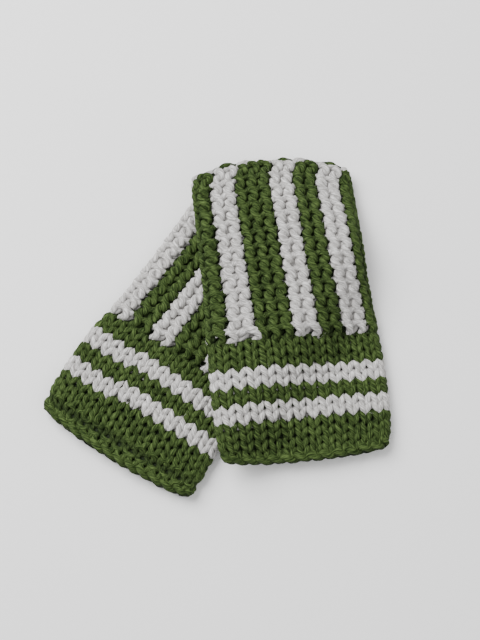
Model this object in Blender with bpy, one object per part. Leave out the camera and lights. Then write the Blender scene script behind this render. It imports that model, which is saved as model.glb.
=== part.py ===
"""A pair of hand-knitted wrist warmers, lying flat on a surface, one across the other.

Each one is an open tube of thick knitting pressed flat, so its section is a long flat ring. It has a
hand band of garter stitch, knitted sideways so that its ridges run lengthwise, a wrist cuff of stocking
stitch in the round, a rolled cast-on edge at the wrist and a turned selvedge at the hand.
The front one lies across the rear one, and drapes from it down to the surface.
Metres, +Z up, origin on the surface under the middle of the pair.
"""

import math

import bmesh
import bpy
from mathutils import Vector

# Knitting counts
RIDGES = 30  # garter ridges round the hand band
WALES = 28  # columns of stitches round the cuff

# Sizes along one wrist warmer, from the cast-on edge
EDGE_RADIUS = 0.0020
SELVEDGE_RADIUS = 0.0017
CUFF_END = 0.0605
TOTAL_LENGTH = 0.1450
SEAM_GAP = 0.0003

# Thickness of the knitting and of the flattened tube
CUFF_WALL = 0.0034
BAND_WALL = 0.0042
CUFF_THICK = 0.0086
BAND_THICK = 0.0100
CROWN = 0.0015  # how much the upper layer lofts in the middle
RIDGE_DEPTH = 0.0010
WALE_DEPTH = 0.0009

# How the front one drapes over the rear one
DRAPE_GAP = 0.0005
DRAPE_RUN = 0.034

# Rings of points along each tube
CUFF_RINGS = 9
BAND_RINGS = 12
EDGE_STEPS = 12  # points of an edge along one flat side
FOLD_STEPS = 4  # points of an edge round one side fold

GREEN = (0.060, 0.095, 0.020, 1.0)
WHITE = (0.600, 0.590, 0.570, 1.0)
YARN_ROUGHNESS = 0.9

# One row for each station: distance from the cast-on edge, flat width, sideways shift of the middle
STATION_COLUMNS = ("along", "width", "shift")
FRONT_STATIONS = (
    (0.0000, 0.0815, 0.0006),
    (0.0060, 0.0862, 0.0008),
    (0.0200, 0.0890, 0.0012),
    (0.0450, 0.0890, 0.0011),
    (0.0605, 0.0874, 0.0008),
    (0.0900, 0.0837, -0.0002),
    (0.1200, 0.0835, -0.0007),
    (0.1450, 0.0832, -0.0010),
)
REAR_STATIONS = (
    (0.0000, 0.0855, 0.0010),
    (0.0060, 0.0893, 0.0007),
    (0.0200, 0.0895, -0.0002),
    (0.0450, 0.0880, -0.0004),
    (0.0605, 0.0855, 0.0012),
    (0.0900, 0.0835, 0.0030),
    (0.1450, 0.0820, 0.0046),
)

# One row for each wrist warmer: its name, the middle of its cast-on edge, the turn of its length
# from +Y towards -X in degrees, its stations, how far its top edge bows out, the share by which that bow
# leans to the right, how much shorter the top's right side is, the same bow and slant for the low edge,
# and the one that it lies on
PLACE_COLUMNS = (
    "name", "x", "y", "turn", "stations", "top_bow", "top_skew", "top_slant", "low_bow", "low_slant", "lies_on"
)
PLACES = (
    ("rear", -0.0507, -0.0640, -32.6, REAR_STATIONS, 0.003, 0.0, 0.000, 0.0030, 0.0010, None),
    ("front", 0.0442, -0.0663, 6.0, FRONT_STATIONS, 0.0075, 0.4, 0.0009, 0.0018, 0.0000, "rear"),
)


def smooth(share):
    """0 to 1 with a soft start and end."""
    share = min(1.0, max(0.0, share))
    return share * share * (3.0 - 2.0 * share)


def station_value(stations, along, column):
    """The value of one column of a station table at a distance along the tube, on a smooth curve."""
    at = STATION_COLUMNS.index(column)
    last = len(stations) - 1
    along = min(stations[last][0], max(0.0, along))
    i = next(i for i in range(last) if along <= stations[i + 1][0])
    near = [stations[min(last, max(0, i + step))] for step in (-1, 0, 1, 2)]
    span = near[2][0] - near[1][0]
    slopes = [(near[k + 2][at] - near[k][at]) / (near[k + 2][0] - near[k][0]) * span for k in (0, 1)]
    share = (along - near[1][0]) / span
    rise = smooth(share)
    bend = share * (1.0 - share)
    value = near[1][at] * (1.0 - rise) + near[2][at] * rise
    return value + bend * (slopes[0] * (1.0 - share) - slopes[1] * share)


def tube_thickness(along):
    """The flattened tube's thickness: thinner in the cuff, thicker in the garter band."""
    step = smooth((along - CUFF_END + 0.004) / 0.008)
    return CUFF_THICK + (BAND_THICK - CUFF_THICK) * step


def outline_point(width, thick, turn):
    """(x, z) on the flattened tube's outline and the outward normal there.

    turn runs from 0 to 1, from the left fold over the top, round the right fold and back underneath.
    """
    radius = thick / 2.0
    flat = width - thick
    quarter = math.pi * radius / 2.0
    run = (turn % 1.0) * (2.0 * flat + 4.0 * quarter)
    if run < quarter:
        angle = math.pi - run / radius
        middle = -flat / 2.0
    elif run < quarter + flat:
        return (run - quarter - flat / 2.0, thick), (0.0, 1.0)
    elif run < 3.0 * quarter + flat:
        angle = math.pi / 2.0 - (run - quarter - flat) / radius
        middle = flat / 2.0
    elif run < 3.0 * quarter + 2.0 * flat:
        return (flat / 2.0 - (run - 3.0 * quarter - flat), 0.0), (0.0, -1.0)
    else:
        angle = 1.5 * math.pi - (run - 3.0 * quarter - 2.0 * flat) / radius
        middle = -flat / 2.0
    normal = (math.cos(angle), math.sin(angle))
    return (middle + radius * normal[0], radius + radius * normal[1]), normal


class WristWarmer:
    """The shape of one wrist warmer: a place on its knitting to a point in the world."""

    def __init__(self, row, under):
        for column, value in zip(PLACE_COLUMNS, row):
            setattr(self, column, value)
        self.under = under
        self.along_axis = Vector((-math.sin(math.radians(self.turn)), math.cos(math.radians(self.turn))))
        self.across_axis = Vector((self.along_axis.y, -self.along_axis.x))

    def laid_out(self, across, along):
        """The world (x, y) of a place across and along the tube."""
        half = station_value(self.stations, along, "width") / 2.0
        side = across / half
        bow = 1.0 - side * side
        top = smooth((along - CUFF_END) / (TOTAL_LENGTH - CUFF_END))
        low = smooth(1.0 - along / CUFF_END)
        length = along + top * (self.top_bow * bow * (1.0 + self.top_skew * side) - self.top_slant * side)
        length -= low * (self.low_bow * bow - self.low_slant * side)
        shifted = across + station_value(self.stations, along, "shift")
        return Vector((self.x, self.y)) + shifted * self.across_axis + length * self.along_axis

    def lift(self, spot):
        """How high this one is held at a world (x, y) by the one that it lies on."""
        if self.under is None:
            return 0.0
        away = spot - Vector((self.under.x, self.under.y))
        along = away.dot(self.under.along_axis)
        inside = min(TOTAL_LENGTH, max(0.0, along))
        half = (station_value(self.under.stations, inside, "width") - BAND_THICK) / 2.0
        across = away.dot(self.under.across_axis) - station_value(self.under.stations, inside, "shift")
        past_side = max(0.0, abs(across) - half)
        past_end = max(0.0, along - TOTAL_LENGTH, -along)
        fall = smooth(1.0 - math.hypot(past_side, past_end) / DRAPE_RUN)
        return (BAND_THICK + CROWN + DRAPE_GAP) * fall

    def point(self, turn, along, depth):
        """The world point at a share of a turn round, a distance along, and a depth under the outline."""
        width = station_value(self.stations, along, "width")
        thick = tube_thickness(along)
        (across, height), normal = outline_point(width, thick, turn)
        across -= depth * normal[0]
        height -= depth * normal[1]
        side = 2.0 * across / width
        upper = smooth(height / thick * 2.0 - 1.0 + depth / thick)
        spot = self.laid_out(across, along)
        height += CROWN * (1.0 - side * side) * upper
        return Vector((spot.x, spot.y, height + self.lift(spot)))

    def is_underneath(self, turn, along):
        """True where the outline is flat against what it lies on."""
        _, normal = outline_point(station_value(self.stations, along, "width"), tube_thickness(along), turn)
        return normal[1] < -0.7


def ribbed_turns(warmer, count, along, profile):
    """(share of a turn, depth) of the outer points of one ring of ribs.

    profile has a (share of a rib, depth) row for each point of a rib. A rib on the flat underside has one
    point and no depth.
    """
    turns = []
    for rib in range(count):
        if warmer.is_underneath((rib + 0.5) / count, along):
            turns.append(((rib + 0.5) / count, 0.0))
        else:
            turns += [((rib + share) / count, depth) for share, depth in profile]
    return turns


def loft_wall(name, warmer, turns, alongs, wall, material):
    """A closed wall of cloth round the tube: ribbed outer points over a plain inside."""
    mesh = bpy.data.meshes.new(name)
    shape = bmesh.new()
    outer = [[shape.verts.new(warmer.point(turn, along, depth)) for turn, depth in turns] for along in alongs]
    inner = [[shape.verts.new(warmer.point(turn, along, wall)) for turn, _ in turns] for along in alongs]
    count = len(turns)
    for i in range(count):
        j = (i + 1) % count
        for low, high in zip(outer, outer[1:]):
            shape.faces.new((low[i], high[i], high[j], low[j]))
        for low, high in zip(inner, inner[1:]):
            shape.faces.new((low[j], high[j], high[i], low[i]))
        shape.faces.new((outer[0][j], inner[0][j], inner[0][i], outer[0][i]))
        shape.faces.new((outer[-1][i], inner[-1][i], inner[-1][j], outer[-1][j]))
    bmesh.ops.recalc_face_normals(shape, faces=shape.faces)
    shape.to_mesh(mesh)
    shape.free()
    mesh.shade_smooth()
    mesh.materials.append(material)
    return bpy.data.objects.new(name, mesh)


def edge_turns(width, thick):
    """Shares of a turn for the points of an edge, close together round the two side folds."""
    flat = width - thick
    quarter = math.pi * thick / 4.0
    around = 2.0 * flat + 4.0 * quarter
    turns = []
    for start in (quarter, 3.0 * quarter + flat):
        turns += [(start + flat * step / EDGE_STEPS) / around for step in range(EDGE_STEPS)]
        turns += [(start + flat + 2.0 * quarter * step / FOLD_STEPS) / around for step in range(FOLD_STEPS)]
    return turns


def round_edge(name, warmer, along, radius, material):
    """The thick yarn edge that closes one end of the knitting, as a closed tube."""
    curve = bpy.data.curves.new(name, "CURVE")
    curve.dimensions = "3D"
    curve.bevel_depth = radius
    curve.bevel_resolution = 2
    width = station_value(warmer.stations, along, "width")
    turns = edge_turns(width, tube_thickness(along))
    spline = curve.splines.new("POLY")
    spline.points.add(len(turns) - 1)
    for knot, turn in zip(spline.points, turns):
        knot.co = (*warmer.point(turn, along, radius), 1.0)
    spline.use_cyclic_u = True
    curve.materials.append(material)
    return bpy.data.objects.new(name, curve)


def yarn_material(name, colour):
    """Matt yarn in one colour."""
    material = bpy.data.materials.new(name)
    material.use_nodes = True
    shader = material.node_tree.nodes["Principled BSDF"]
    shader.inputs["Base Color"].default_value = colour
    shader.inputs["Roughness"].default_value = YARN_ROUGHNESS
    shader.inputs["Metallic"].default_value = 0.0
    material.diffuse_color = colour
    return material


def evenly(low, high, count):
    """count values from low to high."""
    return [low + (high - low) * step / (count - 1) for step in range(count)]


def build_wrist_warmer(warmer, green, white):
    """The four knitted pieces of one wrist warmer."""
    cuff_start = 2.0 * EDGE_RADIUS + SEAM_GAP
    band_end = TOTAL_LENGTH - 2.0 * SELVEDGE_RADIUS - SEAM_GAP
    wale = ((0.0, WALE_DEPTH), (0.5, 0.0))
    ridge = ((0.0, RIDGE_DEPTH), (0.3, 0.0), (0.7, 0.0))
    cuff_turns = ribbed_turns(warmer, WALES, CUFF_END / 2.0, wale)
    band_turns = ribbed_turns(warmer, RIDGES, (CUFF_END + TOTAL_LENGTH) / 2.0, ridge)
    cuff_alongs = evenly(cuff_start, CUFF_END, CUFF_RINGS)
    band_alongs = evenly(CUFF_END + SEAM_GAP, band_end, BAND_RINGS)
    name = warmer.name
    return [
        round_edge(f"{name}_cast_on_edge", warmer, EDGE_RADIUS, EDGE_RADIUS, green),
        loft_wall(f"{name}_wrist_cuff", warmer, cuff_turns, cuff_alongs, CUFF_WALL, green),
        loft_wall(f"{name}_hand_band", warmer, band_turns, band_alongs, BAND_WALL, white),
        round_edge(f"{name}_top_selvedge", warmer, TOTAL_LENGTH - SELVEDGE_RADIUS, SELVEDGE_RADIUS, green),
    ]


def main():
    for old in list(bpy.data.objects):
        bpy.data.objects.remove(old, do_unlink=True)
    green = yarn_material("green_yarn", GREEN)
    white = yarn_material("striped_yarn", WHITE)
    pair = bpy.data.collections.new("knitted_wrist_warmers")
    bpy.context.scene.collection.children.link(pair)
    warmers = {None: None}
    for row in PLACES:
        lies_on = row[PLACE_COLUMNS.index("lies_on")]
        warmer = WristWarmer(row, warmers[lies_on])
        warmers[warmer.name] = warmer
        for piece in build_wrist_warmer(warmer, green, white):
            pair.objects.link(piece)


main()
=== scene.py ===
"""A pair of hand-knitted wrist warmers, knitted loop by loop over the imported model.

Each wrist warmer has a thin cloth under its knitting, which follows the flat and draped tube of the
model, and rows of yarn on it: a wrist cuff of stocking stitch in rounds, a hand band of garter stitch
knitted sideways in stripes, a cast-on edge at the wrist and strands carried along the top edge.
A place on the knitting is a share of a turn round the tube, from the left fold over the top, and a
distance along it from the cast-on edge. Metres, +Z up.
"""

import math

import bpy
import numpy as np
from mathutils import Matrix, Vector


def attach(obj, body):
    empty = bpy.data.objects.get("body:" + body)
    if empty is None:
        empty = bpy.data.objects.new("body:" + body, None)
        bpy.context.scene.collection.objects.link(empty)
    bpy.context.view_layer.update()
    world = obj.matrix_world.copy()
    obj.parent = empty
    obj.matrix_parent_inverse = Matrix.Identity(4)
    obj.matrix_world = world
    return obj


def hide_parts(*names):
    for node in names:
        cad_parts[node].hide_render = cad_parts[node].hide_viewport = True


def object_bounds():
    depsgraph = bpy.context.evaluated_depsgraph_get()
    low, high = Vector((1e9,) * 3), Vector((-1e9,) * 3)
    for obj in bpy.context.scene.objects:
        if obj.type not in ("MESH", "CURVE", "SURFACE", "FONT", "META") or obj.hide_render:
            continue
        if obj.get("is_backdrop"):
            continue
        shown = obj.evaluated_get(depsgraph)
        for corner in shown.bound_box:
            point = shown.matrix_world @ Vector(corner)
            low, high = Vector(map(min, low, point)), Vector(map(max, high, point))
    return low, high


bl_info = {
    "name": "Knitted wrist warmers",
    "version": (1, 0, 0),
    "blender": (4, 5, 0),
    "location": "3D View > Sidebar > Wrist warmers",
    "description": "Knits a pair of striped wrist warmers loop by loop, and sets the stage for them",
    "category": "Add Mesh",
}

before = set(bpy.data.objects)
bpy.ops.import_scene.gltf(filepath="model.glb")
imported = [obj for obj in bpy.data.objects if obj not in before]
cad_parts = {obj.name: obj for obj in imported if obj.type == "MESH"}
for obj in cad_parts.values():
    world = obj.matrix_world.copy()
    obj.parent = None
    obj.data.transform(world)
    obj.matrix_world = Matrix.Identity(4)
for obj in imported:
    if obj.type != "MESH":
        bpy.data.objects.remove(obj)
MODEL_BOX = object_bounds()

# Sizes along one wrist warmer, from the cast-on edge, and through its flattened tube
CUFF_END = 0.0605
TOTAL_LENGTH = 0.1450
CUFF_THICK = 0.0086
BAND_THICK = 0.0100
THICKEN_RUN = 0.008
CROWN = 0.0015

# How the front one is held up by the rear one, and how the corners are drawn in
DRAPE_GAP = 0.0005
DRAPE_RUN = 0.034
CORNER_DROP = 0.0032
CORNER_RUN = 0.014
CORNER_POWER = 12

# One row for each station: distance from the cast-on edge, flat width, sideways shift of the middle
STATION_COLUMNS = ("along", "width", "shift")
FRONT_STATIONS = (
    (0.0000, 0.0815, 0.0006),
    (0.0060, 0.0862, 0.0008),
    (0.0200, 0.0890, 0.0012),
    (0.0450, 0.0890, 0.0011),
    (0.0605, 0.0874, 0.0008),
    (0.0900, 0.0837, -0.0002),
    (0.1200, 0.0835, -0.0007),
    (0.1450, 0.0832, -0.0010),
)
REAR_STATIONS = (
    (0.0000, 0.0855, 0.0010),
    (0.0060, 0.0893, 0.0007),
    (0.0200, 0.0895, -0.0002),
    (0.0450, 0.0880, -0.0004),
    (0.0605, 0.0855, 0.0012),
    (0.0900, 0.0835, 0.0030),
    (0.1450, 0.0820, 0.0046),
)

# One row for each distance from the cast-on edge: how far the rounds of the cuff are off their even places
# there, as a shift all round, a bow on the side that shows, and the step where a round goes into the next
FRONT_ROUNDS = (
    (0.0000, 0.0000, 0.0000, 0.0),
    (0.0236, -0.0004, 0.0025, 0.0),
    (0.0408, -0.0004, 0.0008, 0.0),
    (0.0605, 0.0000, 0.0000, 0.0),
)
REAR_ROUNDS = (
    (0.0000, 0.0000, 0.0000, 0.0000),
    (0.0280, -0.0001, 0.0017, 0.0032),
    (0.0450, -0.0008, 0.0010, 0.0018),
    (0.0605, 0.0000, 0.0000, 0.0000),
)

# The garter ridges round the hand band: W is a white ridge and G a green one
STRIPES = "WWGGGWWGGWWGGWWGGGWWGGWWGGWWGG"

# One row for each wrist warmer. The first ridge is the one at the left fold, and the drifts say how many
# ridges the stripes are turned to the right: on top at the cuff and at the top edge, and at the left fold.
# The spread says how much wider the cuff's stitches are at the left than at the right. The join is the
# share of a turn where the rounds step. The end spread is how much wider a white stripe can be at the cuff.
PLACE_COLUMNS = (
    "name", "x", "y", "turn", "stations", "top_bow", "top_skew", "top_slant", "low_bow", "low_slant",
    "lies_on", "first_ridge", "cuff_drift", "top_drift", "fold_drift", "spread", "seed", "cuff_rounds",
    "rounds", "join", "end_spread",
)
PLACES = (
    ("rear", -0.0507, -0.0640, -32.6, REAR_STATIONS, 0.003, 0.0, 0.000, 0.0030, 0.0010, None,
     9, 0.45, 0.60, -0.1, 0.0, 11, "GGGGGWWGGWWGG", REAR_ROUNDS, 0.18, 0.10),
    ("front", 0.0442, -0.0663, 6.0, FRONT_STATIONS, 0.0075, 0.4, 0.0009, 0.0018, 0.0000, "rear",
     28, 0.50, 0.15, -0.45, 0.011, 5, "GGGGWWGGWWGGG", FRONT_ROUNDS, 0.18, 0.95),
)

# Which part of a turn shows from above, and gets the finest yarn
SHOWN = (-0.045, 0.545)

# In how many ridges the stripes' drift grows past the left fold and fades before it comes round again, and
# the share of a turn in which the rounds step
DRIFT_IN = 2.5
DRIFT_OUT = 12.0
STEP_RUN = 0.03

# How uneven the stitches are, in width, reach, depth and place, and the slow waves along a round
CUFF_UNEVEN = (0.07, 0.05, 0.00012, 0.00022)
BAND_UNEVEN = (0.09, 0.06, 0.00014, 0.00022)
EDGE_UNEVEN = 0.06
CUFF_WAVES, CUFF_SWAY = 5, 0.0003
EDGE_WAVES, EDGE_SWAY = 7, 0.0002

# The thickness of the yarn as shares: in the cuff, more in a loop's legs, and more in wide stitches
CUFF_SLIM = 0.78
LEG_SWELL = 0.10
CUFF_SWELL = 0.3
BAND_SWELL = 0.4
TURN_SLIM = 0.95

# The one round that is purled, how far the band's turns are raised, and the angles that a ply can start at
PURLED = ("rear", 1)
TURN_RAISE = 0.0004
PLY_STARTS = (0.0, 6.28)

# The seeds of the random draws for stripes, cast-on edges and carried strands, past those of the rounds
SEED_STEP = 1000
BAND_SEED = 100
EDGE_SEED = 200
CARRY_SEED = 300

# Yarn carried along the top edge: where it is highest and for how long, as shares of its way, how much that
# varies, how steeply it comes out, how far under the stitches it starts, and its thickness as a share
CARRY_CREST = {"W": 0.24, "G": 0.5}
CARRY_SPAN = 0.2
CARRY_VARIES = (0.75, 1.15)
CARRY_STEEP = 1.6
CARRY_LEVEL, CARRY_SWELL = 0.55, 0.45
CARRY_BACK = 0.0018
CARRY_UNDER = 0.0014
CARRY_SLIM = 0.82
CARRY_SAMPLES = 14

# Hairs: how they lean out, scatter, bend and vary in length, and the shape of their ribbons
HAIR_LEAN = (0.15, 0.75)
HAIR_SCATTER = 0.35
HAIR_BEND, HAIR_BEND_MOST = 0.45, 0.7
HAIR_LENGTHS, HAIR_LENGTH_MOST = (4.0, 0.25), 1.8
HAIR_ROOT = 0.0002
HAIR_SHARES = (0.0, 0.35, 0.7)
HAIR_TAPER = 0.6
HAIR_CORNERS = (0, 1, 3, 2, 2, 3, 5, 4, 4, 5, 6)
HAIR_FACES = (4, 4, 3)
# How far a hair is raised in the height attribute, in millimetres, so that less painted shade falls on it
# than on its root
HAIR_HEIGHT = 0.5

# The cloth under the stitches: its mesh, how far under the yarn it lies, and how far the two parts overlap
CLOTH_AROUND, CLOTH_ALONG = 180, 24
BAND_CLOTH_UNDER = 0.0008
CUFF_CLOTH_UNDER = 0.0006
CLOTH_OVERLAP = 0.0015

# The attribute for heights, which sets the yarn's painted shade, is in millimetres
MILLIMETRES = 1000.0


def smooth(share):
    """0 to 1 with a soft start and end."""
    share = np.clip(share, 0.0, 1.0)
    return share * share * (3.0 - 2.0 * share)


def unit(vectors):
    """Vectors at length one."""
    return vectors / np.linalg.norm(vectors, axis=-1, keepdims=True)


def station_value(stations, along, column):
    """The value of one column of a station table at distances along the tube, on a smooth curve."""
    table = np.array(stations)
    value = table[:, STATION_COLUMNS.index(column)]
    last = len(table) - 1
    along = np.clip(along, 0.0, table[last, 0])
    i = np.clip(np.searchsorted(table[:, 0], along, side="left") - 1, 0, last - 1)
    near = [np.clip(i + step, 0, last) for step in (-1, 0, 1, 2)]
    at = [table[k, 0] for k in near]
    span = at[2] - at[1]
    slopes = [(value[near[k + 2]] - value[near[k]]) / (at[k + 2] - at[k]) * span for k in (0, 1)]
    share = (along - at[1]) / span
    rise = smooth(share)
    curve = value[near[1]] * (1.0 - rise) + value[near[2]] * rise
    return curve + share * (1.0 - share) * (slopes[0] * (1.0 - share) - slopes[1] * share)


def tube_thickness(along):
    """The flattened tube's thickness: thinner in the cuff, thicker in the garter band."""
    share = smooth((along - CUFF_END + THICKEN_RUN / 2.0) / THICKEN_RUN)
    return CUFF_THICK + (BAND_THICK - CUFF_THICK) * share


def outline_point(width, thick, turn):
    """(across, height) on the flattened tube's outline at shares of a turn, and the outward normal."""
    radius = thick / 2.0
    flat = width - thick
    quarter = math.pi * radius / 2.0
    run = (turn % 1.0) * (2.0 * flat + 4.0 * quarter)
    ends = (quarter, quarter + flat, 3.0 * quarter + flat, 3.0 * quarter + 2.0 * flat)
    parts = [run < end for end in ends]
    angle = np.select(parts, [
        math.pi - run / radius,
        np.full_like(run, math.pi / 2.0),
        math.pi / 2.0 - (run - quarter - flat) / radius,
        np.full_like(run, 1.5 * math.pi),
    ], 1.5 * math.pi - (run - 3.0 * quarter - 2.0 * flat) / radius)
    middle = np.select(parts, [
        -flat / 2.0,
        run - quarter - flat / 2.0,
        flat / 2.0,
        flat / 2.0 - (run - 3.0 * quarter - flat),
    ], -flat / 2.0)
    normal = np.stack([np.cos(angle), np.sin(angle)], -1)
    return middle + radius * normal[..., 0], radius + radius * normal[..., 1], normal


class WristWarmer:
    """The shape of one wrist warmer: places on its knitting to points in the world."""

    def __init__(self, row, under):
        for column, value in zip(PLACE_COLUMNS, row):
            setattr(self, column, value)
        self.under = under
        lean = math.radians(self.turn)
        self.along_axis = np.array([-math.sin(lean), math.cos(lean)])
        self.across_axis = np.array([math.cos(lean), math.sin(lean)])
        self.ridges = STRIPES[self.first_ridge:] + STRIPES[:self.first_ridge]

    def laid_out(self, across, along):
        """The world (x, y) of places across and along the tube."""
        side = 2.0 * across / station_value(self.stations, along, "width")
        bow = 1.0 - side * side
        top = smooth((along - CUFF_END) / (TOTAL_LENGTH - CUFF_END))
        low = smooth(1.0 - along / CUFF_END)
        length = along + top * (self.top_bow * bow * (1.0 + self.top_skew * side) - self.top_slant * side)
        length = length - low * (self.low_bow * bow - self.low_slant * side)
        corner = np.abs(side) ** CORNER_POWER * CORNER_DROP
        far = smooth(1.0 - (TOTAL_LENGTH - along) / CORNER_RUN)
        length = length + corner * (smooth(1.0 - along / CORNER_RUN) - far)
        shifted = across + station_value(self.stations, along, "shift")
        spot = shifted[..., None] * self.across_axis + length[..., None] * self.along_axis
        return spot + np.array([self.x, self.y])

    def lift(self, spot):
        """How high this one is held at world (x, y) places by the one that it lies on."""
        if self.under is None:
            return np.zeros(spot.shape[:-1])
        away = spot - np.array([self.under.x, self.under.y])
        along = away @ self.under.along_axis
        inside = np.clip(along, 0.0, TOTAL_LENGTH)
        half = (station_value(self.under.stations, inside, "width") - BAND_THICK) / 2.0
        across = away @ self.under.across_axis - station_value(self.under.stations, inside, "shift")
        past_side = np.maximum(0.0, np.abs(across) - half)
        past_end = np.maximum(0.0, np.maximum(along - TOTAL_LENGTH, -along))
        fall = smooth(1.0 - np.hypot(past_side, past_end) / DRAPE_RUN)
        return (BAND_THICK + CROWN + DRAPE_GAP) * fall

    def point(self, turn, along, depth):
        """World points at shares of a turn round, distances along, and depths under the outline."""
        turn, along, depth = (np.asarray(v, float) for v in np.broadcast_arrays(turn, along, depth))
        width = station_value(self.stations, along, "width")
        thick = tube_thickness(along)
        across, height, normal = outline_point(width, thick, turn)
        across = across - depth * normal[..., 0]
        height = height - depth * normal[..., 1]
        side = 2.0 * across / width
        upper = smooth(height / thick * 2.0 - 1.0 + depth / thick)
        spot = self.laid_out(across, along)
        height = height + CROWN * (1.0 - side * side) * upper + self.lift(spot)
        return np.concatenate([spot, height[..., None]], -1)

    def outward(self, turn, along, depth):
        """The way out of the cloth at those places."""
        step = 0.0002
        return unit(self.point(turn, along, np.asarray(depth) - step) - self.point(turn, along, depth))

    def ridge_turn(self, ridge, along):
        """The share of a turn where a ridge lies: the stripes drift to the right on the side that shows."""
        share = smooth((along - CUFF_END) / (TOTAL_LENGTH - CUFF_END))
        drift = self.cuff_drift + (self.top_drift - self.cuff_drift) * share
        count = len(self.ridges)
        place = np.mod(ridge, count)
        shown = smooth(place / DRIFT_IN) * smooth((count - place) / DRIFT_OUT)
        return (ridge + self.fold_drift + (drift - self.fold_drift) * shown) / count

    def round_shift(self, turn, along):
        """How far the cuff's rounds are off their even places, at shares of a turn and distances along."""
        table = np.array(self.rounds)
        shift, bow, step = (np.interp(along, table[:, 0], table[:, column]) for column in (1, 2, 3))
        past = np.mod(turn - self.join, 1.0)
        fall = 0.5 - past + smooth((past - (1.0 - STEP_RUN)) / STEP_RUN)
        return shift + bow * np.maximum(np.sin(2.0 * math.pi * turn), 0.0) + step * fall


def seeded(mitt, number):
    """The random draws for one round, stripe or strand of a wrist warmer."""
    return np.random.default_rng(mitt.seed * SEED_STEP + number)


def uneven(rng, count, amount):
    """A random value for each of count stitches, read between them on a soft curve."""
    values = rng.normal(0.0, amount, count + 2)

    def read(position):
        at = np.mod(position, count)
        low = at.astype(int)
        share = smooth(at - low)
        return values[low] * (1.0 - share) + values[low + 1] * share

    return read


# Yarn


class Strand:
    """One run of yarn on a wrist warmer: the places of its middle, its thickness and how fine it is."""

    def __init__(self, mitt, turn, along, depth, thick, sides, phase):
        self.points = mitt.point(turn, along, depth)
        self.out = mitt.outward(turn, along, depth)
        self.depth = np.broadcast_to(depth, self.points.shape[:1])
        self.thick = np.broadcast_to(thick, self.points.shape[:1])
        self.sides = sides
        self.phase = phase


def strand_rings(strand, yarn):
    """The points round a strand, ring by ring: plies that twist round it, squashed against the cloth."""
    middle = strand.points
    ahead = unit(np.gradient(middle, axis=0))
    out = unit(strand.out - (strand.out * ahead).sum(1, keepdims=True) * ahead)
    beside = np.cross(out, ahead)
    steps = np.linalg.norm(np.diff(middle, axis=0), axis=1)
    run = np.concatenate([[0.0], np.cumsum(steps)])
    twist = strand.phase - 2.0 * math.pi * run / yarn.ply_turn
    corner = np.arange(strand.sides) * 2.0 * math.pi / strand.sides
    angle = corner[None, :] + twist[:, None]
    ply = 1.0 - yarn.ply_depth * (0.5 + 0.5 * np.cos(yarn.plies * corner))[None, :]
    radius = strand.thick[:, None] / 2.0 * ply
    raised = yarn.squash * radius * np.sin(angle)
    rings = middle[:, None, :] + raised[..., None] * out[:, None, :]
    rings = rings + (radius * np.cos(angle))[..., None] * beside[:, None, :]
    rings[..., 2] = np.maximum(rings[..., 2], 0.0)
    return rings, run, raised - strand.depth[:, None]


def knit_mesh(name, strands, yarn, material, slot):
    """One mesh of many strands, each a closed tube, with a map that runs round and along the yarn."""
    verts, quads, caps, maps, cap_maps, heights = [], [], [], [], [], []
    first = 0
    for strand in strands:
        rings, run, height = strand_rings(strand, yarn)
        count, sides = rings.shape[:2]
        verts.append(rings.reshape(-1, 3))
        heights.append(height.ravel())
        row = np.arange(count - 1)[:, None] * sides
        side = np.arange(sides)[None, :]
        nearby = (side + 1) % sides
        quad = np.stack([row + side, row + nearby, row + sides + nearby, row + sides + side], -1)
        quads.append(first + quad.reshape(-1, 4))
        u = np.broadcast_to(side / sides, (count - 1, sides))
        v = np.broadcast_to(run[:-1, None] / yarn.ply_turn, (count - 1, sides))
        v_next = np.broadcast_to(run[1:, None] / yarn.ply_turn, (count - 1, sides))
        u_next = u + 1.0 / sides
        corners = np.stack([np.stack([u, v], -1), np.stack([u_next, v], -1),
                            np.stack([u_next, v_next], -1), np.stack([u, v_next], -1)], 2)
        maps.append(corners.reshape(-1, 2))
        for ring, turned in ((0, -1), (count - 1, 1)):
            caps.append((first + ring * sides + np.arange(sides))[::turned])
            cap_maps.append(np.stack([np.arange(sides) / sides,
                                      np.full(sides, run[ring] / yarn.ply_turn)], -1)[::turned])
        first += count * sides
    loops = np.concatenate([np.concatenate(quads).ravel()] + caps)
    sizes = np.concatenate([np.full(sum(len(q) for q in quads), 4), [len(cap) for cap in caps]])
    mesh = mesh_of(name, np.concatenate(verts), loops, sizes, np.concatenate(maps + cap_maps),
                   np.concatenate(heights) * MILLIMETRES)
    return finish_piece(name, mesh, [material], slot)


def mesh_of(name, verts, loops, sizes, spots, heights):
    """A mesh from its points, its faces' corners and sizes, its map and the height of each point."""
    mesh = bpy.data.meshes.new(name)
    mesh.vertices.add(len(verts))
    mesh.vertices.foreach_set("co", verts.astype(np.float32).ravel())
    mesh.loops.add(len(loops))
    mesh.loops.foreach_set("vertex_index", loops.astype(np.int32))
    mesh.polygons.add(len(sizes))
    starts = np.concatenate([[0], np.cumsum(sizes)[:-1]])
    mesh.polygons.foreach_set("loop_start", starts.astype(np.int32))
    mesh.update(calc_edges=True)
    yarn_map = mesh.uv_layers.new(name="yarn")
    yarn_map.uv.foreach_set("vector", spots.astype(np.float32).ravel())
    # The height of each point, which the yarn's painted shade follows
    level = mesh.attributes.new("height", "FLOAT", "POINT")
    level.data.foreach_set("value", heights.astype(np.float32))
    return mesh


def finish_piece(name, mesh, materials, slot):
    """Puts a finished mesh into the scene as a piece with its materials."""
    mesh.shade_smooth()
    mesh.validate()
    piece = bpy.data.objects.new(name, mesh)
    bpy.context.scene.collection.objects.link(piece)
    for material in materials:
        mesh.materials.append(material)
    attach(piece, "root")
    return piece


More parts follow.
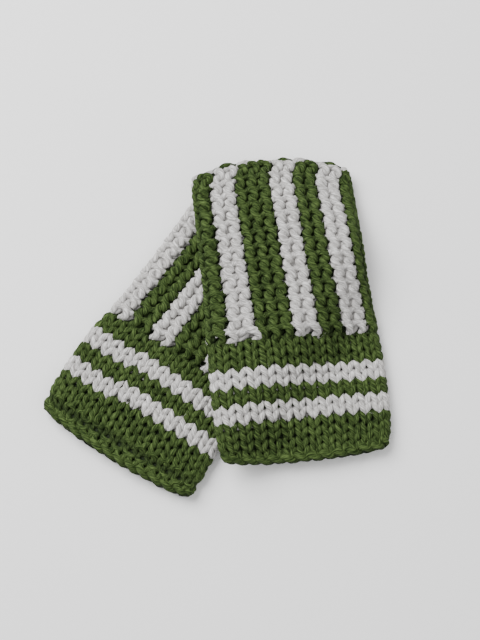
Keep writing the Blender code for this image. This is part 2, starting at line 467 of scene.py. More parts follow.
def fuzz_mesh(name, strands, yarn, material, slot, seed):
    """One mesh of short hairs that stand out of the strands that show, each a thin ribbon to a point."""
    rng = np.random.default_rng(seed)
    roots, radials, aheads, levels = [], [], [], []
    for strand in strands:
        if strand.sides < yarn.fine_sides:
            continue
        rings, run, height = strand_rings(strand, yarn)
        count = int(run[-1] / yarn.hair_gap)
        at, side = rng.integers(1, len(run) - 1, count), rng.integers(0, strand.sides, count)
        radial = rings[at, side] - strand.points[at]
        shown = (radial * strand.out[at]).sum(1) > 0.0
        roots.append(rings[at, side][shown])
        radials.append(radial[shown])
        aheads.append((strand.points[at + 1] - strand.points[at - 1])[shown])
        levels.append(height[at, side][shown])
    root, radial, ahead, level = (np.concatenate(part) for part in (roots, radials, aheads, levels))
    radial, ahead = unit(radial), unit(ahead)
    count = len(root)
    lean = radial * rng.uniform(*HAIR_LEAN, (count, 1)) + ahead * rng.choice([-1.0, 1.0], (count, 1))
    lean = unit(lean + rng.normal(0.0, HAIR_SCATTER, (count, 3)))
    bend = np.clip(rng.normal(0.0, HAIR_BEND, (count, 3)), -HAIR_BEND_MOST, HAIR_BEND_MOST)
    length = yarn.hair_length * np.minimum(rng.gamma(*HAIR_LENGTHS, (count, 1)), HAIR_LENGTH_MOST)
    flat = np.cross(lean, rng.normal(0.0, 1.0, (count, 3)))
    flat *= yarn.hair_thick / 2.0 / np.linalg.norm(flat, axis=1, keepdims=True)
    root = root - radial * HAIR_ROOT
    rows = []
    for share in HAIR_SHARES:
        middle = root + length * (lean * share + bend * share * share)
        half = flat * (1.0 - HAIR_TAPER * share)
        rows += [middle - half, middle + half]
    rows.append(root + length * (lean + bend))
    verts = np.stack(rows, 1)
    verts[..., 2] = np.maximum(verts[..., 2], 0.0)
    points, around = len(rows), len(HAIR_CORNERS)
    loops = (np.arange(count)[:, None] * points + np.array(HAIR_CORNERS)).ravel()
    spots = np.repeat(rng.uniform(0.0, 1.0, (count, 1, 2)), around, axis=1)
    mesh = mesh_of(name, verts.reshape(-1, 3), loops, np.tile(HAIR_FACES, count), spots,
                   np.repeat(level * MILLIMETRES + HAIR_HEIGHT, points))
    return finish_piece(name, mesh, [material], slot)


# Stitches. A loop starts at its foot, at 0, and its head is at pi.


def round_runs(yarn):
    """The part of a round that shows from above and the part that doesn't, with their sides and samples."""
    return (
        (SHOWN[0], SHOWN[1], yarn.fine_sides, yarn.fine_samples),
        (SHOWN[1], 1.0 + SHOWN[0], yarn.rough_sides, yarn.rough_samples),
    )


def soften(places, passes):
    """Rounds off the corners of a path."""
    for _ in range(passes):
        places[1:-1] = (places[:-2] + 2.0 * places[1:-1] + places[2:]) / 4.0
    return places


def cuff_strands(mitt, gauge, yarn, colour):
    """The rounds of one colour in the wrist cuff, in stocking stitch: V shapes that point to the wrist."""
    strands = []
    stitches = gauge.cuff_stitches
    for row, row_colour in enumerate(mitt.cuff_rounds):
        rng = seeded(mitt, row)
        wide, tall, deep, high = (uneven(rng, stitches, amount) for amount in CUFF_UNEVEN)
        sway = uneven(rng, CUFF_WAVES, CUFF_SWAY)
        if row_colour != colour:
            continue
        purled = (mitt.name, row) == PURLED
        for start, end, sides, samples in round_runs(yarn):
            stitch = np.linspace(start, end, int((end - start) * stitches * samples)) * stitches
            loop = 2.0 * math.pi * stitch
            lean = gauge.cuff_lean * (1.0 + wide(stitch)) * np.sin(2.0 * loop)
            lean = lean + gauge.cuff_tip * np.sin(loop)
            turn = (stitch + lean / gauge.cuff_width) / stitches
            turn = turn + mitt.spread * np.sin(2.0 * math.pi * turn)
            middle = gauge.cuff_first + (row + 0.5) * gauge.cuff_rise
            middle = middle + high(stitch) + sway(stitch / stitches * CUFF_WAVES)
            middle = middle + mitt.round_shift(turn, middle)
            reach = np.where(np.cos(loop) > 0.0, gauge.cuff_reach, gauge.cuff_head) * (1.0 + tall(stitch))
            along = np.maximum(middle - reach * np.cos(loop), gauge.edge_middle)
            rise = -gauge.cuff_depth * np.cos(2.0 * loop)
            depth = gauge.cuff_middle + (rise if purled else -rise) + deep(stitch)
            thick = CUFF_SLIM + LEG_SWELL * np.sin(loop) ** 2 + CUFF_SWELL * wide(stitch + 0.5)
            ply = rng.uniform(*PLY_STARTS)
            strands.append(Strand(mitt, turn, along, depth, yarn.thick * thick, sides, ply))
    return strands


def band_course(gauge, purled, ridge, at_edge, rng, samples):
    """One course along the hand band, going down or, purled, coming up.

    It is rows of a place in ridges, a distance along, a depth and a share of the yarn's thickness.
    At the edge of a stripe the side that reaches into the next stripe is shorter and deeper.
    """
    wide, tall, deep, slide = (uneven(rng, gauge.band_stitches + 1, amount) for amount in BAND_UNEVEN)
    count = int((gauge.band_stitches - 0.5) * samples)
    stitch = np.linspace(0.25, gauge.band_stitches - 0.25, count)
    loop = 2.0 * math.pi * stitch
    pitch = (gauge.band_top - gauge.band_low) / (gauge.band_stitches - 0.5)
    lean = gauge.band_lean * (1.0 + wide(stitch)) * np.sin(2.0 * loop)
    gone = pitch * (stitch - 0.25) + lean + slide(stitch)
    tuck = at_edge * smooth(0.5 + 0.5 * np.cos(loop) * (-1.0 if purled else 1.0))
    reach = gauge.band_reach * (1.0 + tall(stitch)) * (1.0 - gauge.edge_short * tuck)
    across = ridge - reach / gauge.ridge_width * np.cos(loop - gauge.band_lag)
    out = -gauge.band_depth * np.cos(loop) - gauge.band_bump * np.cos(3.0 * loop)
    if purled:
        along = gauge.band_low + gone
        out = -out
    else:
        along = gauge.band_top - gone
    thick = gauge.band_slim + (1.0 - gauge.band_slim) * smooth(0.5 + 0.5 * out / gauge.band_depth)
    out = np.where(out < 0.0, gauge.band_inside * out, out) - gauge.edge_tuck * tuck
    depth = gauge.band_middle - out + deep(stitch)
    return np.stack([across, along, depth, thick * (1.0 + BAND_SWELL * wide(stitch))], -1)


def band_turn(gauge, ridge, at_top, pulled):
    """The yarn's way round from one course to the next, half a ridge on, past the end of the stitches."""
    swing = np.linspace(0.0, math.pi, 9)[1:-1]
    bulge = gauge.top_turn if at_top else -gauge.low_turn
    end = gauge.band_top if at_top else gauge.band_low
    across = ridge + 0.25 - 0.25 * np.cos(swing)
    along = end + bulge * np.sin(swing) ** (1.0 if at_top else 0.5)
    depth = gauge.band_middle - TURN_RAISE + (0.0 if at_top else gauge.low_dive) * np.sin(swing) ** 3
    thick = TURN_SLIM if at_top or not pulled else gauge.low_slim
    return np.stack([across, along, depth, np.full_like(swing, thick)], -1)


def stripe_runs(mitt, colour):
    """(first ridge, number of ridges) of each stripe of one colour, from the left fold round."""
    runs = []
    count = len(mitt.ridges)
    for ridge in range(count):
        if mitt.ridges[ridge] == colour and mitt.ridges[ridge - 1] != colour:
            wide = 1
            while mitt.ridges[(ridge + wide) % count] == colour:
                wide += 1
            runs.append((ridge, wide))
    return runs


def band_strands(mitt, gauge, yarn, colour):
    """The stripes of one colour in the hand band. Each is a yarn that goes down and up in garter stitch."""
    strands = []
    ridges = len(mitt.ridges)
    for first, wide in stripe_runs(mitt, colour):
        rng = seeded(mitt, BAND_SEED + first)
        pieces, shown_before, centre = [], None, first + wide / 2.0
        spread = mitt.end_spread * rng.uniform(0.0, 1.0) if colour == "W" else 0.0
        for course in range(2 * wide):
            ridge = first + course * 0.5 + 0.25
            middle_turn = ridge / ridges % 1.0
            shown = middle_turn < SHOWN[1] or middle_turn > 1.0 + SHOWN[0]
            samples = yarn.fine_samples if shown else yarn.rough_samples
            if pieces and shown != shown_before:
                strands.append(band_strand(mitt, gauge, yarn, pieces, centre, spread, shown_before, rng))
                pieces = []
            at_edge = float(course in (0, 2 * wide - 1))
            pieces.append(band_course(gauge, course % 2 == 1, ridge, at_edge, rng, samples))
            if course < 2 * wide - 1:
                pieces.append(band_turn(gauge, ridge, course % 2 == 1, colour == "W"))
            shown_before = shown
        strands.append(band_strand(mitt, gauge, yarn, pieces, centre, spread, shown_before, rng))
    return strands


def band_strand(mitt, gauge, yarn, pieces, centre, spread, shown, rng):
    """One yarn of the hand band from its courses and turns. It leans at the top and spreads at the cuff."""
    places = soften(np.concatenate(pieces), 2)
    ridge, along, depth, thick = places.T
    top = smooth(1.0 - (gauge.band_top - along) / gauge.top_reach)
    low = smooth(1.0 - (along - gauge.band_low) / gauge.low_reach)
    ridge = ridge + gauge.top_lean * top + spread * low * (ridge - centre)
    turn = mitt.ridge_turn(ridge, along)
    return Strand(mitt, turn, along, depth - gauge.low_raise * low, yarn.thick * thick,
                  yarn.fine_sides if shown else yarn.rough_sides, rng.uniform(*PLY_STARTS))


def cast_on_strands(mitt, gauge, yarn):
    """The two yarns that twist round each other along the cast-on edge."""
    strands = []
    stitches = gauge.cuff_stitches
    for half in range(2):
        rng = seeded(mitt, EDGE_SEED + half)
        swell, sway = uneven(rng, stitches, EDGE_UNEVEN), uneven(rng, EDGE_WAVES, EDGE_SWAY)
        for start, end, sides, samples in round_runs(yarn):
            stitch = np.linspace(start, end, int((end - start) * stitches * samples)) * stitches
            swing = math.pi * (stitch + half)
            along = gauge.edge_middle + gauge.edge_twist * np.cos(swing)
            along = along + sway(stitch / stitches * EDGE_WAVES)
            depth = gauge.cuff_middle - gauge.edge_twist * np.sin(swing)
            thick = yarn.thick * (1.0 + swell(stitch))
            ply = rng.uniform(*PLY_STARTS)
            strands.append(Strand(mitt, stitch / stitches, along, depth, thick, sides, ply))
    return strands


def carried_strands(mitt, gauge, yarn, colour):
    """The yarn of one colour that is carried along the top edge, over the stripes of the other.

    White rises out of its stripe and sinks past it. Green rises between the two ridges of a white stripe.
    """
    strands = []
    runs = stripe_runs(mitt, colour)
    for i, (first, wide) in enumerate(runs):
        rng = seeded(mitt, CARRY_SEED + first)
        start = first + wide - 0.25
        end = runs[(i + 1) % len(runs)][0] + 0.25
        end += len(mitt.ridges) if end < start else 0
        share = np.linspace(0.0, 1.0, int((end - start) * CARRY_SAMPLES))
        out = np.clip(CARRY_STEEP * np.sqrt(np.sin(math.pi * share)), 0.0, 1.0)
        raised = np.exp(-((share - CARRY_CREST[colour]) / CARRY_SPAN) ** 2) * rng.uniform(*CARRY_VARIES)
        over = CARRY_BACK + gauge.carry_over * (CARRY_LEVEL + CARRY_SWELL * raised)
        along = gauge.band_top - CARRY_BACK + over * out
        depth = gauge.band_middle + CARRY_UNDER - (CARRY_UNDER - gauge.carry_sink) * out
        depth = depth - gauge.carry_raise * raised
        turn = mitt.ridge_turn(start + share * (end - start) + gauge.top_lean, along)
        strands.append(Strand(mitt, turn, along, depth, CARRY_SLIM * yarn.thick, yarn.fine_sides,
                              rng.uniform(*PLY_STARTS)))
    return strands


def cloth_tube(mitt, name, start, end, depth, wall, stripe, materials, slot):
    """The cloth under the stitches: a thin closed wall all round, coloured like what lies on it."""
    around, length = CLOTH_AROUND, CLOTH_ALONG
    turns = np.arange(around) / around
    alongs = np.linspace(start, end, length)
    points = [mitt.point(turns[None, :], alongs[:, None], layer) for layer in (depth, depth + wall)]
    verts = np.concatenate([layer.reshape(-1, 3) for layer in points])
    verts[:, 2] = np.maximum(verts[:, 2], 0.0)
    faces, stripes = [], []
    inner = around * length
    for j in range(around):
        k = (j + 1) % around
        for i in range(length - 1):
            a, b, c, d = i * around + j, i * around + k, (i + 1) * around + k, (i + 1) * around + j
            faces += [(a, b, c, d), (inner + a, inner + d, inner + c, inner + b)]
            stripes += [stripe(turns[j] + 0.5 / around, (alongs[i] + alongs[i + 1]) / 2.0)] * 2
        last = (length - 1) * around
        faces += [(j, inner + j, inner + k, k), (last + j, last + k, inner + last + k, inner + last + j)]
        stripes += [0, 0]
    mesh = bpy.data.meshes.new(name)
    mesh.from_pydata([tuple(v) for v in verts], [], faces)
    mesh.polygons.foreach_set("material_index", stripes)
    return finish_piece(name, mesh, materials, slot)


# Materials


def add_node(tree, kind, place, **settings):
    """One node of a tree at a place, with its properties and the values of its inputs."""
    node = tree.nodes.new(kind)
    node.location = place
    for key, value in settings.items():
        if key == "inputs":
            for label, number in value.items():
                node.inputs[label].default_value = number
        else:
            setattr(node, key, value)
    return node


def socket(sockets, name):
    """The socket of that name that the node's settings show."""
    return next(s for s in sockets if s.name == name and s.enabled)


def join(tree, *links):
    """Links nodes of a tree. Each link is a node and its output, then a node and its input."""
    for source, output, target, entry in links:
        tree.links.new(socket(source.outputs, output), socket(target.inputs, entry))


def fibre_group():
    """The node group for the yarn's fibres: colour that varies along them, painted shade where the yarn
    lies deep between the stitches, and their height.
    """
    tree = bpy.data.node_groups.get("Yarn fibres")
    if tree:
        return tree
    tree = bpy.data.node_groups.new("Yarn fibres", "ShaderNodeTree")
    for name in ("Yarn map", "Base", "Deep", "Light"):
        kind = "NodeSocketVector" if name == "Yarn map" else "NodeSocketColor"
        tree.interface.new_socket(name, in_out="INPUT", socket_type=kind)
    for name, kind in (("Colour", "NodeSocketColor"), ("Height", "NodeSocketFloat")):
        tree.interface.new_socket(name, in_out="OUTPUT", socket_type=kind)
    entry = add_node(tree, "NodeGroupInput", (-900, 0))
    leave = add_node(tree, "NodeGroupOutput", (700, 0))
    streaks = add_node(tree, "ShaderNodeMapping", (-700, 100), inputs={"Scale": (9.0, 2.6, 1.0)})
    fibres = add_node(tree, "ShaderNodeTexNoise", (-500, 100),
                      inputs={"Scale": 1.6, "Detail": 5.0, "Roughness": 0.65})
    fibre_light = add_node(tree, "ShaderNodeMapRange", (-300, 100),
                           inputs={"From Min": 0.42, "From Max": 0.72})
    # Painted shade: the deeper the yarn lies by its height attribute, from 0.7 mm to 3.2 mm down, the more
    # its colour goes over to the deep tone
    level = add_node(tree, "ShaderNodeAttribute", (-700, -250), attribute_name="height")
    gap_shade_mask = add_node(tree, "ShaderNodeMapRange", (-300, -250),
                    inputs={"From Min": -3.2, "From Max": -0.7, "To Min": 1.0, "To Max": 0.0})
    lit = add_node(tree, "ShaderNodeMix", (0, 100), data_type="RGBA")
    # This second mix paints that shade over the fibres' colour
    deep = add_node(tree, "ShaderNodeMix", (300, 0), data_type="RGBA")
    join(tree,
         (entry, "Yarn map", streaks, "Vector"), (streaks, "Vector", fibres, "Vector"),
         (fibres, "Fac", fibre_light, "Value"), (level, "Fac", gap_shade_mask, "Value"),
         (fibre_light, "Result", lit, "Factor"), (entry, "Base", lit, "A"), (entry, "Light", lit, "B"),
         (gap_shade_mask, "Result", deep, "Factor"), (lit, "Result", deep, "A"), (entry, "Deep", deep, "B"),
         (deep, "Result", leave, "Colour"), (fibres, "Fac", leave, "Height"))
    return tree


def made_material(name, values):
    """A new material, its nodes and its shader, which gets the values of its inputs."""
    material = bpy.data.materials.new(name)
    material.use_nodes = True
    shader = material.node_tree.nodes["Principled BSDF"]
    for label, value in values.items():
        shader.inputs[label].default_value = value
    return material, material.node_tree, shader


def yarn_material(colour, look):
    """The material of one colour of yarn."""
    name = {"G": "Green yarn", "W": "White yarn"}[colour]
    if name in bpy.data.materials:
        return bpy.data.materials[name]
    # deep is the painted shade for where the yarn lies deep between the stitches
    base, deep, light = look.shades(colour)
    material, tree, shader = made_material(name, {
        "Roughness": 0.85, "Specular IOR Level": 0.15, "Sheen Weight": {"G": 0.03, "W": 0.12}[colour],
        "Sheen Roughness": 0.45, "Sheen Tint": light,
    })
    yarn_map = add_node(tree, "ShaderNodeUVMap", (-600, 0), uv_map="yarn")
    fibres = add_node(tree, "ShaderNodeGroup", (-300, 0), node_tree=fibre_group(),
                      inputs={"Base": base, "Deep": deep, "Light": light})
    bump = add_node(tree, "ShaderNodeBump", (0, -200), inputs={"Strength": 0.6, "Distance": 0.0004})
    join(tree,
         (yarn_map, "UV", fibres, "Yarn map"), (fibres, "Colour", shader, "Base Color"),
         (fibres, "Height", bump, "Height"), (bump, "Normal", shader, "Normal"))
    return material


def cloth_material(colour, look):
    """The material of the cloth that shows between stitches: felted fibres of one colour, mixed in fine
    noise from the yarn's middle tone and its painted shade for deep places.
    """
    name = {"G": "Green cloth", "W": "White cloth"}[colour]
    if name in bpy.data.materials:
        return bpy.data.materials[name]
    # deep is the yarn's painted shade for deep places, which the cloth takes on between the stitches
    base, deep, _ = look.shades(colour)
    material, tree, shader = made_material(name, {"Roughness": 0.95})
    place = add_node(tree, "ShaderNodeTexCoord", (-900, 0))
    noise = add_node(tree, "ShaderNodeTexNoise", (-700, 0), inputs={"Scale": 1400.0, "Detail": 4.0})
    mix = add_node(tree, "ShaderNodeMix", (-400, 0), data_type="RGBA")
    socket(mix.inputs, "A").default_value = deep
    socket(mix.inputs, "B").default_value = base
    bump = add_node(tree, "ShaderNodeBump", (-400, -250), inputs={"Strength": 0.5, "Distance": 0.0003})
    join(tree,
         (place, "Object", noise, "Vector"), (noise, "Fac", mix, "Factor"),
         (mix, "Result", shader, "Base Color"), (noise, "Fac", bump, "Height"),
         (bump, "Normal", shader, "Normal"))
    return material


# Settings


def length_property(name, description, default):
    """A length setting."""
    return bpy.props.FloatProperty(name=name, description=description, default=default, unit="LENGTH")


def share_property(name, description, default):
    """A setting without a unit."""
    return bpy.props.FloatProperty(name=name, description=description, default=default)


def count_property(name, description, default):
    """A setting that is a whole number."""
    return bpy.props.IntProperty(name=name, description=description, default=default)


def colour_property(name, description, default):
    """A colour setting."""
    return bpy.props.FloatVectorProperty(
        name=name, description=description, default=default, subtype="COLOR", size=3)


class WARMERS_PG_gauge(bpy.types.PropertyGroup):
    """How the wrist warmers are knitted: the numbers of stitches and the sizes of the loops."""

    cuff_stitches: count_property("Cuff stitches", "Stitches round the wrist cuff", 28)
    cuff_first: length_property(
        "First round", "Distance from the cast-on edge to the lower side of the first round", 0.0021)
    cuff_rise: length_property("Round height", "Distance from one round to the next", 0.0043)
    cuff_width: length_property("Stitch width", "Width of one stitch of the cuff", 0.0064)
    cuff_reach: length_property("Cuff loop reach", "How far a loop's feet are from its middle", 0.0035)
    cuff_head: length_property("Cuff head reach", "How far a loop's head is from its middle", 0.0030)
    cuff_lean: length_property("Cuff loop lean", "How far a loop's legs lean to the side", 0.0014)
    cuff_tip: length_property("Cuff loop tip", "How far the two legs of a V are moved together", 0.00012)
    cuff_depth: length_property("Cuff loop depth", "How far a loop goes in and out", 0.0007)
    cuff_middle: length_property("Cuff yarn depth", "Depth of the middle of the cuff's yarn", 0.0025)
    band_stitches: count_property("Band stitches", "Stitches along the hand band", 13)
    ridge_width: length_property("Ridge width", "Width of a garter ridge of two courses", 0.0059)
    band_low: length_property(
        "Band start", "Distance from the cast-on edge to the first stitches of the band", 0.0606)
    band_top: length_property(
        "Band end", "Distance from the cast-on edge to the last stitches of the band", 0.1416)
    band_reach: length_property(
        "Band loop reach", "How far a loop's head and foot are from its middle", 0.0029)
    band_lag: bpy.props.FloatProperty(
        name="Band loop lag", description="How far round a loop its reach lags, which slants the bumps",
        default=0.62, subtype="ANGLE")
    band_lean: length_property("Band loop lean", "How far a loop's legs lean", 0.0015)
    band_depth: length_property("Band loop depth", "How far a loop goes in and out", 0.0011)
    band_bump: length_property("Band bump", "How much further the bumps of a ridge stand out", 0.0003)
    band_inside: share_property(
        "Band inside", "Depth of the loops inside the cloth, as a share of that outside", 0.9)
    band_slim: share_property(
        "Band slimness", "Thickness of the yarn inside the cloth, as a share of that outside", 0.84)
    band_middle: length_property("Band yarn depth", "Depth of the middle of the band's yarn", 0.0030)
    top_turn: length_property("Top turn", "How far the yarn turns past the last stitches", 0.0011)
    low_turn: length_property("Low turn", "How far the yarn turns into the cuff", 0.0034)
    top_lean: share_property(
        "Top lean", "How many ridges the stripes lean to the right at the top edge", 0.55)
    top_reach: length_property("Top reach", "Height over which the stripes lean at the top edge", 0.0080)
    low_reach: length_property("Low reach", "Height over which a stripe spreads at the cuff", 0.0065)
    low_dive: length_property("Low dive", "How far the turns at the cuff go in under its stitches", 0.0018)
    low_slim: share_property(
        "Low slimness", "Thickness of the white yarn where the cuff pulls it, as a share of the rest", 0.6)
    edge_short: share_property(
        "Stripe edge shortness", "How much shorter the loops are that reach into the next stripe", 0.2)
    edge_tuck: length_property(
        "Stripe edge tuck", "How much deeper the loops are that reach into the next stripe", 0.0005)
    low_raise: length_property("Low raise", "How far the ends of a stripe lie over the cuff", 0.0004)
    edge_middle: length_property("Edge middle", "Middle of the cast-on edge's two yarns", 0.0027)
    edge_twist: length_property(
        "Edge twist", "How far the cast-on edge's yarns go round each other", 0.0010)
    carry_over: length_property(
        "Carried yarn reach", "How far the carried yarn lies past the last stitches", 0.0019)
    carry_raise: length_property(
        "Carried yarn rise", "How far the carried yarn rises where it shows", 0.0021)
    carry_sink: length_property(
        "Carried yarn sink", "How far the carried yarn lies under the stitches", 0.0010)


class WARMERS_PG_yarn(bpy.types.PropertyGroup):
    """A yarn: its thickness, its plies, and how fine its mesh is where it shows and where it doesn't."""

    thick: length_property("Thickness", "Thickness of the yarn", 0.0039)
    squash: share_property("Squash", "Height of the yarn's section as a share of its width", 0.85)
    plies: count_property("Plies", "Number of plies twisted into the yarn", 3)
    ply_turn: length_property("Ply turn", "Length of yarn in which the plies go once round", 0.0140)
    ply_depth: share_property("Ply depth", "Depth between the plies as a share of the yarn's radius", 0.16)
    fine_sides: count_property("Sides shown", "Sides of yarn that shows", 12)
    rough_sides: count_property("Sides under", "Sides of yarn on the underside", 6)
    fine_samples: count_property("Samples shown", "Points for a stitch that shows", 16)
    rough_samples: count_property("Samples under", "Points for a stitch on the underside", 10)
    hair_gap: length_property("Hair gap", "Length of yarn for each hair", 0.00035)
    hair_length: length_property("Hair length", "Usual length of a hair", 0.0016)
    hair_thick: length_property("Hair thickness", "Width of a hair at its root", 0.00007)


class WARMERS_PG_look(bpy.types.PropertyGroup):
    """The colours of the two yarns, with their painted shade between the stitches, and how thick the cloth
    under the stitches is.
    """

    green_base: colour_property("Green", "Middle tone of the green yarn", (0.0075, 0.018, 0.0016))
    # Painted shade: the tone that the green yarn and cloth take where they lie deep between the stitches
    green_deep: colour_property("Deep green", "Green between the stitches", (0.0018, 0.0050, 0.0004))
    green_light: colour_property("Light green", "Lit fibres of the green yarn", (0.105, 0.160, 0.045))
    white_base: colour_property("White", "Middle tone of the white yarn", (0.27, 0.26, 0.248))
    # Painted shade, mild: the tone of the white yarn and cloth deep between the stitches, lighter than its
    # middle tone but darker than its lit fibres
    white_deep: colour_property("Deep white", "White between the stitches", (0.33, 0.32, 0.31))
    white_light: colour_property("Light white", "Lit fibres of the white yarn", (0.88, 0.865, 0.85))
    wall: length_property("Cloth wall", "Thickness of the cloth under the stitches", 0.0006)

    def shades(self, colour):
        """The middle tone, the painted shade for deep places and the light tone of one yarn, with an alpha
        of one.
        """
        names = [f"{WORDS[colour]}_{tone}" for tone in ("base", "deep", "light")]
        return [tuple(getattr(self, name)) + (1.0,) for name in names]


def both_warmers():
    """The two wrist warmers, the one that lies under first."""
    warmers = {}
    for row in PLACES:
        under = warmers.get(row[PLACE_COLUMNS.index("lies_on")])
        warmers[row[0]] = WristWarmer(row, under)
    return list(warmers.values())


SLOTS = {"G": "green_yarn", "W": "white_yarn"}
WORDS = {"G": "green", "W": "white"}


class WarmerPiece:
    """What the operators that knit share."""

    bl_options = {"REGISTER", "UNDO"}

    def settings(self, context):
        """The gauge, the yarn and the look."""
        scene = context.scene
        return scene.warmer_gauge, scene.warmer_yarn, scene.warmer_look

    def colours(self, context):
        """Each wrist warmer in each colour, with the settings and that colour's material and slot."""
        gauge, yarn, look = self.settings(context)
        for mitt in both_warmers():
            for colour in "GW":
                yield mitt, gauge, yarn, colour, yarn_material(colour, look), SLOTS[colour]


class WARMERS_OT_cloth(WarmerPiece, bpy.types.Operator):
    """Makes the thin striped cloth under the stitches of both wrist warmers"""

    bl_idname = "warmers.cloth"
    bl_label = "Make the cloth"

    def execute(self, context):
        gauge, _, look = self.settings(context)
        materials = [cloth_material(colour, look) for colour in "GW"]
        for mitt in both_warmers():

            def band_stripe(turn, along, mitt=mitt):
                count = len(mitt.ridges)
                shifted = float(mitt.ridge_turn(turn * count, along)) - turn
                return "GW".index(mitt.ridges[math.floor((turn - shifted) * count) % count])

            def cuff_stripe(turn, along, mitt=mitt):
                shift = float(mitt.round_shift(turn, along))
                row = int((along - shift - gauge.cuff_first) / gauge.cuff_rise)
                return "GW".index(mitt.cuff_rounds[min(max(row, 0), len(mitt.cuff_rounds) - 1)])

            band = cloth_tube(
                mitt, mitt.name + "_band_cloth", CUFF_END - CLOTH_OVERLAP, gauge.band_top,
                gauge.band_middle + BAND_CLOTH_UNDER, look.wall, band_stripe, materials, "white_yarn")
            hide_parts(mitt.name + "_hand_band")
            cuff = cloth_tube(
                mitt, mitt.name + "_cuff_cloth", gauge.edge_middle, CUFF_END,
                gauge.cuff_middle + CUFF_CLOTH_UNDER, look.wall, cuff_stripe, materials, "green_yarn")
            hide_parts(mitt.name + "_wrist_cuff")
        return {"FINISHED"}


class WARMERS_OT_cuff(WarmerPiece, bpy.types.Operator):
    """Knits the wrist cuffs in stocking stitch"""

    bl_idname = "warmers.cuff"
    bl_label = "Knit the wrist cuffs"

    def execute(self, context):
        for mitt, gauge, yarn, colour, material, slot in self.colours(context):
            strands = cuff_strands(mitt, gauge, yarn, colour)
            knit_mesh(f"{mitt.name}_cuff_{WORDS[colour]}_yarn", strands, yarn, material, slot)
        return {"FINISHED"}


class WARMERS_OT_band(WarmerPiece, bpy.types.Operator):
    """Knits the hand bands in garter stitch"""

    bl_idname = "warmers.band"
    bl_label = "Knit the hand bands"

    def execute(self, context):
        for mitt, gauge, yarn, colour, material, slot in self.colours(context):
            strands = band_strands(mitt, gauge, yarn, colour)
            knit_mesh(f"{mitt.name}_band_{WORDS[colour]}_yarn", strands, yarn, material, slot)
        return {"FINISHED"}


class WARMERS_OT_cast_on(WarmerPiece, bpy.types.Operator):
    """Twists the cast-on edges"""

    bl_idname = "warmers.cast_on"
    bl_label = "Make the cast-on edges"

    def execute(self, context):
        gauge, yarn, look = self.settings(context)
        for mitt in both_warmers():
            piece = knit_mesh(f"{mitt.name}_cast_on_yarn", cast_on_strands(mitt, gauge, yarn), yarn,
                              yarn_material("G", look), "green_yarn")
            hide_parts(mitt.name + "_cast_on_edge")
        return {"FINISHED"}


class WARMERS_OT_selvedge(WarmerPiece, bpy.types.Operator):
    """Carries the yarns along the top edges"""

    bl_idname = "warmers.selvedge"
    bl_label = "Make the top selvedges"

    def execute(self, context):
        for mitt, gauge, yarn, colour, material, slot in self.colours(context):
            strands = carried_strands(mitt, gauge, yarn, colour)
            piece = knit_mesh(f"{mitt.name}_top_{WORDS[colour]}_yarn", strands, yarn, material, slot)
            if colour == "G":
                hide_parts(mitt.name + "_top_selvedge")
        return {"FINISHED"}


class WARMERS_OT_fuzz(WarmerPiece, bpy.types.Operator):
    """Adds the short hairs of the yarn"""

    bl_idname = "warmers.fuzz"
    bl_label = "Add the fuzz"

    def execute(self, context):
        for mitt, gauge, yarn, colour, material, slot in self.colours(context):
            strands = cuff_strands(mitt, gauge, yarn, colour) + band_strands(mitt, gauge, yarn, colour)
            strands += carried_strands(mitt, gauge, yarn, colour)
            if colour == "G":
                strands += cast_on_strands(mitt, gauge, yarn)
            fuzz_mesh(f"{mitt.name}_fuzz_{WORDS[colour]}", strands, yarn, material, slot, mitt.seed)
        return {"FINISHED"}


class WARMERS_OT_declare(WarmerPiece, bpy.types.Operator):
    """Goes through the parts of the cloth, their flat sizes and the names that their pieces of yarn start
    with, and does nothing with them
    """

    bl_idname = "warmers.declare"
    bl_label = "State the cloth"

    def execute(self, context):
        for mitt in both_warmers():
            parts = (
                ("band", (0.178, 0.0835), ("band", "top", "fuzz")),
                ("cuff", (0.178, 0.0565), ("cuff", "cast_on")),
            )
            for part, flat, kinds in parts:
                starts = tuple(f"{mitt.name}_{kind}_" for kind in kinds)
        return {"FINISHED"}


class WARMERS_OT_stage(bpy.types.Operator):
    """Sets the floor, the lights and the camera"""

    bl_idname = "warmers.stage"
    bl_label = "Set the stage"

    def execute(self, context):
        scene = context.scene
        bpy.ops.object.select_all(action="DESELECT")
        bpy.ops.mesh.primitive_plane_add(size=6.0, location=(0.0, 0.0, 0.0))
        floor = context.object
        floor.name = "floor"
        material, _, _ = made_material("Floor", {"Base Color": (0.93, 0.93, 0.93, 1.0), "Roughness": 0.9})
        floor.data.materials.append(material)
        floor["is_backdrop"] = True
        lamps = (("key", (-0.55, 0.50, 0.85), 0.8, 25.0), ("fill", (0.75, -0.35, 0.80), 1.2, 5.0))
        for name, place, size, power in lamps:
            bpy.ops.object.light_add(type="AREA", location=place)
            lamp = context.object
            lamp.name = name
            lamp.data.shape = "SQUARE"
            lamp.data.size = size
            lamp.data.energy = power
            aim = np.array([0.0, 0.0, 0.0]) - np.array(place)
            lamp.rotation_euler = direction_angles(aim)
        world = bpy.data.worlds.new("Soft room")
        world.use_nodes = True
        background = world.node_tree.nodes["Background"]
        background.inputs["Color"].default_value = (1.0, 1.0, 1.0, 1.0)
        background.inputs["Strength"].default_value = 0.55
        scene.world = world
        bpy.ops.object.camera_add()
        camera = context.object
        camera.name = "camera"
        camera.data.lens = 67.5
        camera.data.sensor_fit = "VERTICAL"
        camera.data.sensor_height = 36.0
        scene.camera = camera
        aim = np.array([0.0123, 0.0023, 0.008])
        lift = math.radians(80.0)
        away = np.array([0.0, -math.cos(lift), math.sin(lift)])
        camera.location = aim + 0.60 * away
        camera.rotation_euler = direction_angles(-away)
        return {"FINISHED"}


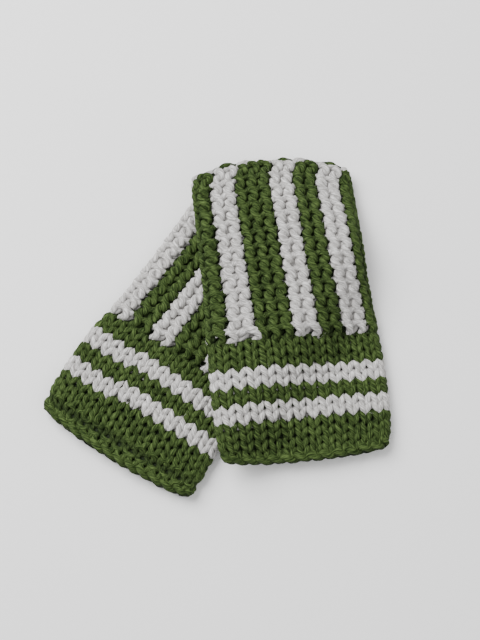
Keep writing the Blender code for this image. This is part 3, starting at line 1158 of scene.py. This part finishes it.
def direction_angles(aim):
    """The turn that points a lamp or a camera, which look down, along a direction with its top to +Y."""
    flat = math.hypot(aim[0], aim[1])
    return (math.atan2(flat, -aim[2]), 0.0, math.atan2(-aim[0], aim[1]))


class WARMERS_PT_panel(bpy.types.Panel):
    """The wrist warmers' settings and steps"""

    bl_idname = "WARMERS_PT_panel"
    bl_label = "Wrist warmers"
    bl_space_type = "VIEW_3D"
    bl_region_type = "UI"
    bl_category = "Wrist warmers"

    def draw(self, context):
        scene = context.scene
        for settings in (scene.warmer_gauge, scene.warmer_yarn, scene.warmer_look):
            box = self.layout.box()
            for name in type(settings).__annotations__:
                box.prop(settings, name)
        for operator in STEPS:
            self.layout.operator(operator.bl_idname)


STEPS = (
    WARMERS_OT_cloth,
    WARMERS_OT_cuff,
    WARMERS_OT_band,
    WARMERS_OT_cast_on,
    WARMERS_OT_selvedge,
    WARMERS_OT_fuzz,
    WARMERS_OT_declare,
    WARMERS_OT_stage,
)
CLASSES = (WARMERS_PG_gauge, WARMERS_PG_yarn, WARMERS_PG_look) + STEPS + (WARMERS_PT_panel,)


def register():
    """Registers the classes and adds the settings to the scene."""
    for cls in CLASSES:
        bpy.utils.register_class(cls)
    bpy.types.Scene.warmer_gauge = bpy.props.PointerProperty(type=WARMERS_PG_gauge)
    bpy.types.Scene.warmer_yarn = bpy.props.PointerProperty(type=WARMERS_PG_yarn)
    bpy.types.Scene.warmer_look = bpy.props.PointerProperty(type=WARMERS_PG_look)


def unregister():
    """Takes the settings and the classes away again."""
    del bpy.types.Scene.warmer_look
    del bpy.types.Scene.warmer_yarn
    del bpy.types.Scene.warmer_gauge
    for cls in reversed(CLASSES):
        bpy.utils.unregister_class(cls)


def corners(box):
    """A box's two corners as plain lists."""
    return [[float(value) for value in corner] for corner in box]


def main():
    register()
    bpy.ops.warmers.cloth()
    bpy.ops.warmers.cuff()
    bpy.ops.warmers.band()
    bpy.ops.warmers.cast_on()
    bpy.ops.warmers.selvedge()
    bpy.ops.warmers.fuzz()
    bpy.ops.warmers.declare()
    bpy.ops.warmers.stage()
    {"cad_box": corners(MODEL_BOX), "visual_box": corners(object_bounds())}


if __name__ == "__main__":
    main()
